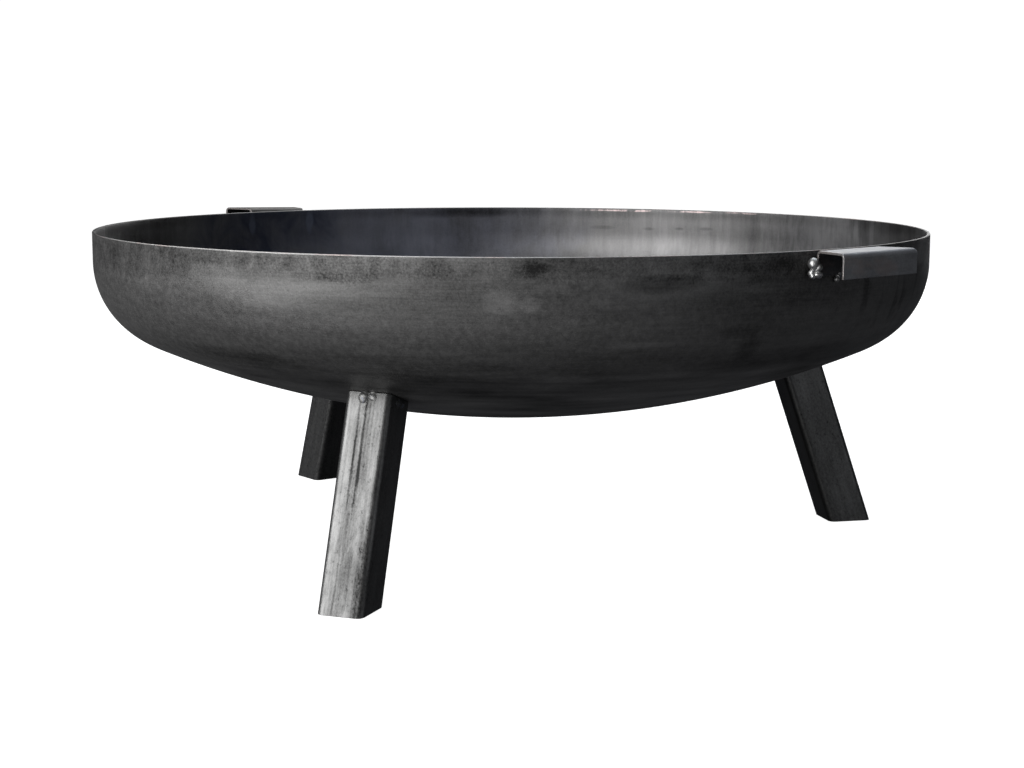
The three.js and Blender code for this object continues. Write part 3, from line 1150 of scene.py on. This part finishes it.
@dataclass
class Leg:
    """One splayed square-tube leg with the four weld beads that hold it."""

    dish: Dish
    place: str
    azimuth: float
    turn: float
    seed: int
    side: float = 42.0 * MM
    wall: float = 3.0 * MM
    corner: float = 6.0 * MM
    foot_radius: float = 345.5 * MM
    splay: float = math.radians(19.2)
    # Scales the tube's colour; above 1 it paints light onto the leg.
    painted_light_gain: float = 1.0
    seam: float = 0.3 * MM
    corner_steps: int = 8
    side_steps: int = 6
    length_steps: int = 6
    drop: float = 5.2 * MM
    drop_pitch: float = 4.3 * MM
    bead_sink: float = 3.7 * MM
    bead_fall: float = 3.9 * MM

    def __post_init__(self) -> None:
        """Works out the leg's own axes: out of its outward face, across it, and up along the tube."""
        around = math.radians(self.azimuth)
        heading = math.radians(self.azimuth + self.turn)
        outward = np.array([math.cos(heading), math.sin(heading), 0.0])
        upright = np.array([0.0, 0.0, 1.0])
        self.foot = self.foot_radius * np.array([math.cos(around), math.sin(around), 0.0])
        self.out = math.cos(self.splay) * outward + math.sin(self.splay) * upright
        self.across = np.array([-math.sin(heading), math.cos(heading), 0.0])
        self.up = -math.sin(self.splay) * outward + math.cos(self.splay) * upright

    def outline(self, side: float, corner: float) -> Array:
        """A square with round corners.

        Each corner is a quarter circle, and each side's points are spread evenly between two.

        Args:
            side: The square's side.
            corner: The corners' radius.

        Returns:
            Points, n by 2, counter-clockwise.
        """
        points = []
        for quarter in range(4):
            start = quarter * math.pi / 2.0
            angle = start + np.linspace(0.0, math.pi / 2.0, self.corner_steps + 1)
            diagonal = start + math.pi / 4.0
            reach = (side / 2.0 - corner) * math.sqrt(2.0)
            centre = reach * np.array([math.cos(diagonal), math.sin(diagonal)])
            arc = centre + corner * np.stack([np.cos(angle), np.sin(angle)], axis=1)
            along = np.array([math.cos(start + math.pi), math.sin(start + math.pi)])
            share = np.linspace(0.0, side - 2.0 * corner, self.side_steps + 1)[1:-1, None]
            points += [arc, arc[-1] + share * along]
        return np.concatenate(points)

    def lift(self, flat: Array) -> Array:
        """Points of the tube's section, n by 2, as points in space at the foot's middle."""
        return self.foot + flat[:, :1] * self.out + flat[:, 1:] * self.across

    def build(self) -> Shape:
        """The tube's wall: its outer face, cut top, inner face and cut foot as one closed band.

        Every line of a face runs parallel to the tube from the ground to the bowl's crown, so the
        foot is flat on the ground and the top follows the bowl.

        Returns:
            The tube's shape.
        """
        outer = self.lift(self.outline(self.side, self.corner))
        inner = self.lift(self.outline(self.side - 2.0 * self.wall, self.corner - self.wall))
        upward = np.linspace(0.0, 1.0, self.length_steps + 1)
        rows = []
        for face, shares in ((outer, upward), (inner, upward[::-1])):
            low = -face[:, 2] / self.up[2]
            high = self.dish.height_under(face, self.up, -self.seam)
            rows += [face + (low + share * (high - low))[:, None] * self.up for share in shares]
        shape = Shape()
        slots = np.array(([0] * self.length_steps + [1]) * 2)
        shape.add_grid(np.stack(rows), closed_rows=True, slots=slots)
        return shape

    def finish(self) -> DrawnTube:
        """The tube's finish, its pattern turned into the leg's own axes."""
        turn, shift = pattern_frame((self.out, self.across, self.up), self.foot)
        tint = tuple(self.painted_light_gain * part for part in DrawnTube.tint)
        return DrawnTube(f"{self.place}_tube_mill_finish", turn, tuple(shift), SEED_SHIFT * self.seed, tint)

    def beads(self) -> dict[str, list[Point]]:
        """Places the drops: two on the outward and inward faces, three on the others.

        Returns:
            By face, each drop's place out from the section's middle and across it.
        """
        out = self.side / 2.0 - self.bead_sink
        twin = self.drop_pitch * np.array([-1.0, 1.0])
        row = self.drop_pitch * np.array([-1.0, 0.0, 1.0])
        return {
            "outer": [(out, step) for step in twin],
            "inner": [(-out, step) for step in twin],
            "left": [(step, -out) for step in row],
            "right": [(step, out) for step in row],
        }

    def make(self, brushed: bpy.types.Material, scaled: bpy.types.Material) -> None:
        """Builds the tube and its beads.

        Args:
            brushed: The weld metal of the beads on the outward face.
            scaled: The weld metal of the other faces' beads.
        """
        name = f"{self.place}_leg"
        finishes = (self.finish().material(), CutEdge(f"{name}_sawn_edge", (0.16, 0.16, 0.155)).material())
        tube = Piece(f"{name}_tube", FIXED_BODY, Slot.TUBE, (name,), finishes, bevel=0.35 * MM)
        tube.make(self.build())
        for number, (face, drops) in enumerate(self.beads().items()):
            flat = self.lift(np.array(drops))
            along = self.across if face in ("outer", "inner") else self.out
            random = np.random.default_rng(self.seed * 10 + number)
            fall = self.bead_fall * random.uniform(0.85, 1.15, len(drops))
            top = self.dish.height_under(flat, self.up, -self.seam) - fall
            centres = flat + top[:, None] * self.up
            radii = self.drop * random.uniform(0.95, 1.12, len(drops))
            spatter = random.uniform(-0.55, 0.55, (2 * len(drops), 2)) * self.drop
            raised = centres + 0.55 * fall[:, None] * self.up
            strewn = np.repeat(centres, 2, axis=0) + spatter[:, :1] * along + spatter[:, 1:] * self.up
            places = np.concatenate([centres, raised, strewn])
            sizes = np.concatenate([radii, 0.8 * radii, 0.86 * np.repeat(radii, 2)])
            lumps = [Lump(tuple(at), size) for at, size in zip(places, sizes)]
            weld = brushed if face == "outer" else scaled
            piece = Piece(f"{name}_bead_{face}", FIXED_BODY, Slot.WELD, (f"{name}_weld_{face}",), (weld,))
            piece.make_from(bead(lumps, self.seed * 10 + number, rows=36, columns=52))


# ---------- the handles


@dataclass
class Handle:
    """A channel of folded sheet, open below, with the three weld beads that hold it.

    A drop is given by how far out of the wall it lies, in drop radii, how far down, in handle
    heights, how far past the flange's end, in drop radii, and by its size, in drop radii.
    """

    dish: Dish
    place: str
    azimuth: float
    above_rim: float
    lean: float
    length_share: float
    seed: int
    scale: Rgb = (0.300, 0.306, 0.322)
    edge: Rgb = (0.56, 0.555, 0.55)
    sheet: float = 2.1 * MM
    height: float = 21.0 * MM
    width: float = 36.0 * MM
    bend: float = 4.5 * MM
    inner_half: float = 38.0 * MM
    outer_half: float = 50.0 * MM
    wall_gap: float = 1.5 * MM
    bend_steps: int = 10
    length_steps: int = 8
    drop: float = 4.6 * MM
    tack: float = 2.4 * MM
    tack_from_middle: float = 9.0 * MM
    tack_lean: float = 1.4 * MM
    main_drops: tuple[Drop, ...] = (
        (0.60, 0.50, 1.10, 1.12),
        (1.40, 0.62, 0.70, 0.66),
        (0.45, 0.86, 1.45, 0.72),
        (1.25, 0.90, 0.60, 0.74),
    )
    loose_drops: tuple[Drop, Drop] = ((0.2, 0.60, 0.5, 0.40), (1.6, 0.98, 1.7, 0.56))

    def __post_init__(self) -> None:
        """Works out the handle's own axes: away from the bowl, along the handle and down."""
        around, lean = math.radians(self.azimuth), math.radians(self.lean)
        level = np.array([-math.sin(around), math.cos(around), 0.0])
        upright = np.array([0.0, 0.0, 1.0])
        self.out = np.array([math.cos(around), math.sin(around), 0.0])
        self.along = math.cos(lean) * level + math.sin(lean) * upright
        self.down = math.sin(lean) * level - math.cos(lean) * upright
        self.origin = self.dish.radius * self.out + np.array([0.0, 0.0, self.dish.rim + self.above_rim])

    def fold(self, inset: float) -> tuple[Array, Array]:
        """The folded sheet's section on one of its faces, from the inner flange's edge to the outer's.

        Straight stretches joined by quarter circles whose radius is the bend's less the inset.

        Args:
            inset: How far inside the outer face.

        Returns:
            Points out from the bowl and down from the top, n by 2, and 1 on the bends, 0 elsewhere.
        """
        near, far = self.wall_gap, self.wall_gap + self.width
        radius = self.bend - inset
        angle = np.linspace(0.0, math.pi / 2.0, self.bend_steps + 1)
        across, deep = radius * np.cos(angle), radius * np.sin(angle)
        first = np.stack([near + self.bend - across, self.bend - deep], axis=1)
        second = np.stack([far - self.bend + deep, self.bend - across], axis=1)
        flange = np.linspace(self.height, self.bend, 4, endpoint=False)[:, None]
        inner = np.concatenate([np.full_like(flange, near + inset), flange], axis=1)
        outer = np.concatenate([np.full_like(flange, far - inset), flange], axis=1)[::-1]
        span = np.linspace(near + self.bend, far - self.bend, 8)[1:-1, None]
        top = np.concatenate([span, np.full_like(span, inset)], axis=1)
        bends = [np.zeros(4), np.sin(2.0 * angle), np.zeros(6), np.sin(2.0 * angle), np.zeros(4)]
        return np.concatenate([inner, first, top, second, outer]), np.concatenate(bends)

    def build(self) -> Shape:
        """The sheet: its outer face, one cut end, its inner face and the other cut end, closed.

        Each row is the folded section at one place along the handle. The half length grows evenly
        from the inner flange to the outer, so the ends are cut aslant. The flanges' edges are shut by
        a strip between the two faces. The marks are 1 on the bends, 0 elsewhere, and below -1 inside.

        Returns:
            The handle's shape.
        """
        rows, marks = [], []
        shares = np.linspace(-1.0, 1.0, self.length_steps + 1)
        for inset, order in ((0.0, shares), (self.sheet, shares[::-1])):
            flat, bend = self.fold(inset)
            flare = (self.outer_half - self.inner_half) * (flat[:, 0] - self.wall_gap) / self.width
            half = self.length_share * (self.inner_half + flare)
            face = self.origin + flat[:, :1] * self.out + flat[:, 1:] * self.down
            rows += [face + (share * half)[:, None] * self.along for share in order]
            marks += [bend if inset == 0.0 else bend - 2.0] * len(order)
        points = np.stack(rows)
        shape = Shape()
        slots = np.array(([0] * self.length_steps + [1]) * 2)
        shape.add_grid(points, closed_rows=True, closed_columns=False, slots=slots, marks=np.stack(marks))
        shape.add_strip(shape.index_of(points.shape[:2]), len(shares), 1)
        return shape

    def beads(self) -> dict[str, list[Lump]]:
        """The drops of each bead: a lumpy one at each end of the inner flange, a tack under it.

        Returns:
            The drops by the bead's name.
        """
        random = np.random.default_rng(self.seed)
        inner_half = self.length_share * self.inner_half
        beads = {}
        for end, side in (("near", -1.0), ("far", 1.0)):
            loose = [tuple(random.uniform(*self.loose_drops)) for _ in range(4)]
            beads[end] = [
                self.drop_at(out, down, side * (inner_half + past * self.drop), size)
                for out, down, past, size in (*self.main_drops, *loose)
            ]
        tack, sink = self.tack / self.drop, self.tack / self.height
        beads["under"] = [
            self.drop_at(tack, 1.0 + (i - 0.4) * sink, -self.tack_from_middle - i * self.tack_lean, tack)
            for i in range(3)
        ]
        return beads

    def drop_at(self, out: float, down: float, along: float, size: float) -> Lump:
        """A drop, placed by shares of its own radius, of the handle's height, and by metres along."""
        at = self.origin + out * self.drop * self.out + along * self.along
        return Lump(tuple(at + down * self.height * self.down), size * self.drop)

    def finish(self) -> BentSheet:
        """The sheet's finish, its pattern turned into the handle's own axes."""
        turn, shift = pattern_frame((self.out, -self.down, self.along), self.origin)
        shift = shift + Vector((SEED_SHIFT * self.seed, 0.0, 0.0))
        return BentSheet(f"{self.place}_folded_sheet", turn, tuple(shift), self.scale)

    def make(self, weld: bpy.types.Material, tack: bpy.types.Material) -> None:
        """Builds the channel and its beads.

        Args:
            weld: The bare weld metal of the beads at the ends.
            tack: The weld metal of the tack underneath.
        """
        name = f"{self.place}_handle"
        sheared = CutEdge(f"{name}_sheared_edge", self.edge)
        finishes = (self.finish().material(), sheared.material())
        Piece(f"{name}_channel", FIXED_BODY, Slot.SHEET, (name,), finishes, bevel=0.3 * MM).make(self.build())
        for number, (end, lumps) in enumerate(self.beads().items()):
            metal = tack if end == "under" else weld
            piece = Piece(f"{name}_bead_{end}", FIXED_BODY, Slot.WELD, (f"{name}_weld_{end}",), (metal,))
            piece.make_from(bead(lumps, self.seed * 20 + number, rows=40, columns=56))


# ---------- the grate


@dataclass
class Grate:
    """The loose grate: four quarter hoops, a cross bar, parallel bars and two lifting loops.

    A weld's drops have a radius between the two in drop, and lie within drop_spread, in millimetres.
    """

    ring_rod: float = 12.0 * MM
    bar_rod: float = 10.0 * MM
    loop_rod: float = 8.0 * MM
    bars: int = 11
    loop_corner: float = 16.0 * MM
    loop_sink: float = 0.3 * MM
    joint_gap: float = 0.1 * MM
    sides: int = 20
    hoop_steps: int = 48
    drop_spread: float = 1.8
    drop: tuple[float, float] = (3.6, 4.6)
    seed: int = 7
    first_bead: int = 300

    def __post_init__(self) -> None:
        """Takes the ring's radius and height from the CAD ring."""
        low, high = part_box("grate_ring_back_right")
        self.radius = high.x - self.ring_rod / 2.0
        self.height = (low.z + high.z) / 2.0

    def hoop(self, start: float, stop: float) -> Array:
        """The ring's centre line between two angles, in even steps."""
        angle = np.linspace(start, stop, self.hoop_steps + 1)
        level = self.radius * np.stack([np.cos(angle), np.sin(angle), 0.0 * angle], axis=1)
        return level + (0.0, 0.0, self.height)

    def straight(self, start: Point, stop: Point, steps: int = 12) -> Array:
        """Even points on a straight line."""
        return np.linspace(start, stop, steps + 1)

    def loop(self, node: str) -> Array:
        """A lifting loop's centre line: up, over and down, its corners quarter circles.

        Args:
            node: The CAD loop that it follows.

        Returns:
            The points, n by 3.
        """
        low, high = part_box(node)
        x = (low.x + high.x) / 2.0
        half = (high.y - low.y - self.loop_rod) / 2.0
        top = high.z - self.loop_rod / 2.0
        corner = self.loop_corner
        angle = np.linspace(0.0, math.pi / 2.0, 9)
        rise = np.linspace(low.z - self.loop_sink, top - corner, 8, endpoint=False)
        left = np.stack([-half + corner - corner * np.cos(angle), top - corner + corner * np.sin(angle)], 1)
        right = (left * (-1.0, 1.0))[::-1]
        over = np.linspace(left[-1], right[0], 8)[1:-1]
        up = np.stack([np.full_like(rise, -half), rise], axis=1)
        line = np.concatenate([up, left, over, right, (up * (-1.0, 1.0))[::-1]])
        return np.concatenate([np.full((len(line), 1), x), line], axis=1)

    def rods(self) -> Iterable[tuple[str, Array, Sequence[float], float]]:
        """Lists the rods: quarter hoops, cross bar, bars and loops.

        Returns:
            Each rod's CAD node, centre line, plane normal and radius.
        """
        upright, along_x, along_y = (0.0, 0.0, 1.0), (1.0, 0.0, 0.0), (0.0, 1.0, 0.0)
        joint, quarter = self.joint_gap / self.radius, math.pi / 2.0
        for number, place in enumerate(("back_right", "back_left", "front_left", "front_right")):
            arc = self.hoop(number * quarter + joint, (number + 1) * quarter - joint)
            yield f"grate_ring_{place}", arc, upright, self.ring_rod / 2.0
        end = self.radius - self.ring_rod / 2.0
        cross = self.straight((-end, 0.0, self.height), (end, 0.0, self.height))
        yield "grate_cross_bar", cross, upright, self.ring_rod / 2.0
        for number in range(1, self.bars + 1):
            node = f"grate_bar_{number:02d}"
            low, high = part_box(node)
            middle = (low + high) / 2.0
            line = self.straight((middle.x, low.y, middle.z), (middle.x, high.y, middle.z))
            yield node, line, upright, self.bar_rod / 2.0
        for place in ("right", "left"):
            node = f"grate_lift_loop_{place}"
            yield node, self.loop(node), along_x, self.loop_rod / 2.0

    def crossings(self) -> Iterable[Array]:
        """Lists where rods are welded: bars on ring and cross bar, loops, and the ring's joints.

        Returns:
            Each weld's middle.
        """
        touch = self.height + self.ring_rod / 2.0
        for number in range(1, self.bars + 1):
            low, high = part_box(f"grate_bar_{number:02d}")
            x = (low.x + high.x) / 2.0
            y = math.sqrt(self.radius**2 - x**2)
            for place in (-y, 0.0, y):
                yield np.array([x, place, touch])
        for node in ("grate_lift_loop_right", "grate_lift_loop_left"):
            low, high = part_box(node)
            x = (low.x + high.x) / 2.0
            for y in (low.y + self.loop_rod / 2.0, high.y - self.loop_rod / 2.0):
                yield np.array([x, y, touch])
        for turn in range(4):
            reach = self.radius - self.ring_rod / 2.0
            around = turn * math.pi / 2.0
            yield np.array([reach * math.cos(around), reach * math.sin(around), self.height])

    def make(self, weld: bpy.types.Material) -> None:
        """Builds the rods and the small beads that join them.

        Args:
            weld: The bare weld metal.
        """
        steel = BarSteel().material()
        for node, line, normal, radius in self.rods():
            piece = Piece(f"{node}_rod", GRATE_BODY, Slot.GRATE, (node,), (steel,))
            piece.make_from(rod(line, normal, radius, self.sides))
        shape = Shape()
        random = np.random.default_rng(self.seed)
        spread = self.drop_spread
        for number, at in enumerate(self.crossings()):
            lumps = [
                Lump(tuple(at + random.uniform(-spread, spread, 3) * MM), random.uniform(*self.drop) * MM)
                for _ in range(3)
            ]
            shape.add_grid(bead(lumps, self.first_bead + number, rows=12, columns=18))
        Piece("grate_weld_beads", GRATE_BODY, Slot.WELD, (), (weld,)).make(shape)


# ---------- the studio


@dataclass(frozen=True)
class Softbox:
    """A rectangular light that faces the object."""

    name: str
    azimuth: float
    elevation: float
    distance: float
    size: tuple[float, float]
    watts: float
    tint: Rgb = (1.0, 1.0, 1.0)

    def make(self, target: Vector) -> None:
        """Hangs the light.

        Args:
            target: The point that it faces.
        """
        turn, rise = math.radians(self.azimuth), math.radians(self.elevation)
        heading = Vector((math.cos(turn) * math.cos(rise), math.sin(turn) * math.cos(rise), math.sin(rise)))
        data = bpy.data.lights.new(self.name, "AREA")
        data.shape = "RECTANGLE"
        data.size, data.size_y = self.size
        data.energy = self.watts
        data.color = self.tint
        light = bpy.data.objects.new(self.name, data)
        light.location = target + heading * self.distance
        light.rotation_mode = "QUATERNION"
        light.rotation_quaternion = heading.to_track_quat("Z", "Y")
        light.visible_camera = False
        bpy.context.scene.collection.objects.link(light)


@dataclass
class Studio:
    """A pale cove, soft lights, and the camera."""

    eye: Point = (0.0, -1.8272, 0.4063)
    pitch: float = 0.1421
    yaw: float = -0.0006
    roll: float = 0.0023
    lens: float = 65.62
    floor_rings: tuple[float, float] = (0.5, 3.0)
    floor_radius: float = 7.0
    cove_radius: float = 2.5
    wall_height: float = 3.0
    cove_turns: int = 128
    paper: Rgb = (0.45, 0.45, 0.45)
    glow: float = 1.02
    surround: Rgb = (0.046, 0.047, 0.051)
    target: Point = (0.0, 0.0, 0.22)
    lights: tuple[Softbox, ...] = (
        Softbox("key", -140.0, 20.0, 2.4, (2.2, 1.5), 56.0),
        Softbox("low_left", -122.0, -8.0, 2.2, (1.8, 0.9), 9.0),
        Softbox("sky", 60.0, 75.0, 2.6, (2.6, 2.6), 26.0, (0.88, 0.94, 1.0)),
        Softbox("back_card", 71.0, 12.0, 3.0, (1.4, 1.6), 15.0),
        Softbox("rear_soft", 112.0, 42.0, 3.0, (2.5, 1.5), 22.0),
        Softbox("right_fill", -40.0, 4.0, 3.2, (2.0, 1.6), 5.0, (0.94, 0.97, 1.0)),
    )

    def camera(self) -> None:
        """Stands the camera at its eye point, looking along +Y and down by its pitch."""
        turn = Matrix.Rotation(self.yaw, 4, "Z") @ Matrix.Rotation(math.pi / 2.0 - self.pitch, 4, "X")
        turn = turn @ Matrix.Rotation(self.roll, 4, "Z")
        data = bpy.data.cameras.new("camera")
        data.sensor_fit = "HORIZONTAL"
        data.sensor_width = 36.0
        data.lens = self.lens
        camera = bpy.data.objects.new("camera", data)
        camera.matrix_world = Matrix.Translation(self.eye) @ turn
        bpy.context.scene.collection.objects.link(camera)
        bpy.context.scene.camera = camera

    def cove(self) -> None:
        """A round floor that curves up into a wall all around; the curve is a quarter circle.

        Only the pole in the middle of the floor is kept, so the cove is open above.
        """
        curve = np.linspace(0.0, math.pi / 2.0, 25)
        radius = np.concatenate([self.floor_rings, self.floor_radius + self.cove_radius * np.sin(curve)])
        height = np.concatenate([[0.0, 0.0], self.cove_radius * (1.0 - np.cos(curve))])
        radius, height = np.append(radius, radius[-1]), np.append(height, height[-1] + self.wall_height)
        angle = np.linspace(0.0, 2.0 * math.pi, self.cove_turns, endpoint=False)
        faces = Shape()
        faces.add_grid(revolved(radius[:, None], height[:, None], angle))
        mesh = bpy.data.meshes.new("cove")
        vertices = np.concatenate(faces.vertices[:2])
        mesh.from_pydata(vertices.tolist(), [], faces.quads[0].tolist() + faces.triangles[0].tolist())
        mesh.shade_smooth()
        graph = Graph("pale_paper")
        paper = graph.surface(
            base_color=self.paper, roughness=0.9, emission_color=(1.0, 1.0, 1.0), emission_strength=self.glow
        )
        mesh.materials.append(paper)
        cove = bpy.data.objects.new("cove", mesh)
        bpy.context.scene.collection.objects.link(cove)
        cove.visible_diffuse = False
        cove.visible_glossy = False
        cove.visible_shadow = False

    def make(self) -> None:
        """Sets up camera, cove, lights and a dim even surround."""
        self.camera()
        self.cove()
        for light in self.lights:
            light.make(Vector(self.target))
        world = bpy.data.worlds.new("surround")
        world.use_nodes = True
        world.node_tree.nodes["Background"].inputs["Color"].default_value = (*self.surround, 1.0)
        scene = bpy.context.scene
        scene.world = world
        scene.view_settings.view_transform = "Standard"
        scene.view_settings.look = "None"


def main() -> None:
    """Builds the object and the studio in order."""
    logging.basicConfig(level=logging.INFO, format="%(message)s")
    Studio().make()
    dish = Dish()
    weld = WeldMetal().material()
    brushed = WeldMetal("weld_metal_brushed", bright=(0.30, 0.30, 0.295), roughness=0.34).material()
    scaled = WeldMetal("weld_metal_scaled", bright=(0.10, 0.10, 0.10), roughness=0.40).material()
    Bowl(dish).make()
    Leg(dish, "front", -112.7, 1.9, 1).make(brushed, scaled)
    Leg(dish, "right", 8.9, 4.0, 2).make(brushed, scaled)
    # The rear leg's tube colour is 1.75 times paler: painted light.
    Leg(dish, "rear", 128.6, -1.0, 3, painted_light_gain=1.75).make(brushed, scaled)
    Handle(dish, "right", -46.8, 0.0, 0.0, 1.0, 5).make(weld, brushed)
    # The left handle gets a darker copy of the sheet and of its cut edge: painted shade.
    painted_shade_scale, painted_shade_edge = (0.085, 0.080, 0.076), (0.20, 0.185, 0.18)
    Handle(dish, "left", 131.4, 3.0 * MM, 1.5, 0.92, 6, painted_shade_scale, painted_shade_edge).make(weld, brushed)
    Grate().make(weld)


if __name__ == "__main__":
    main()
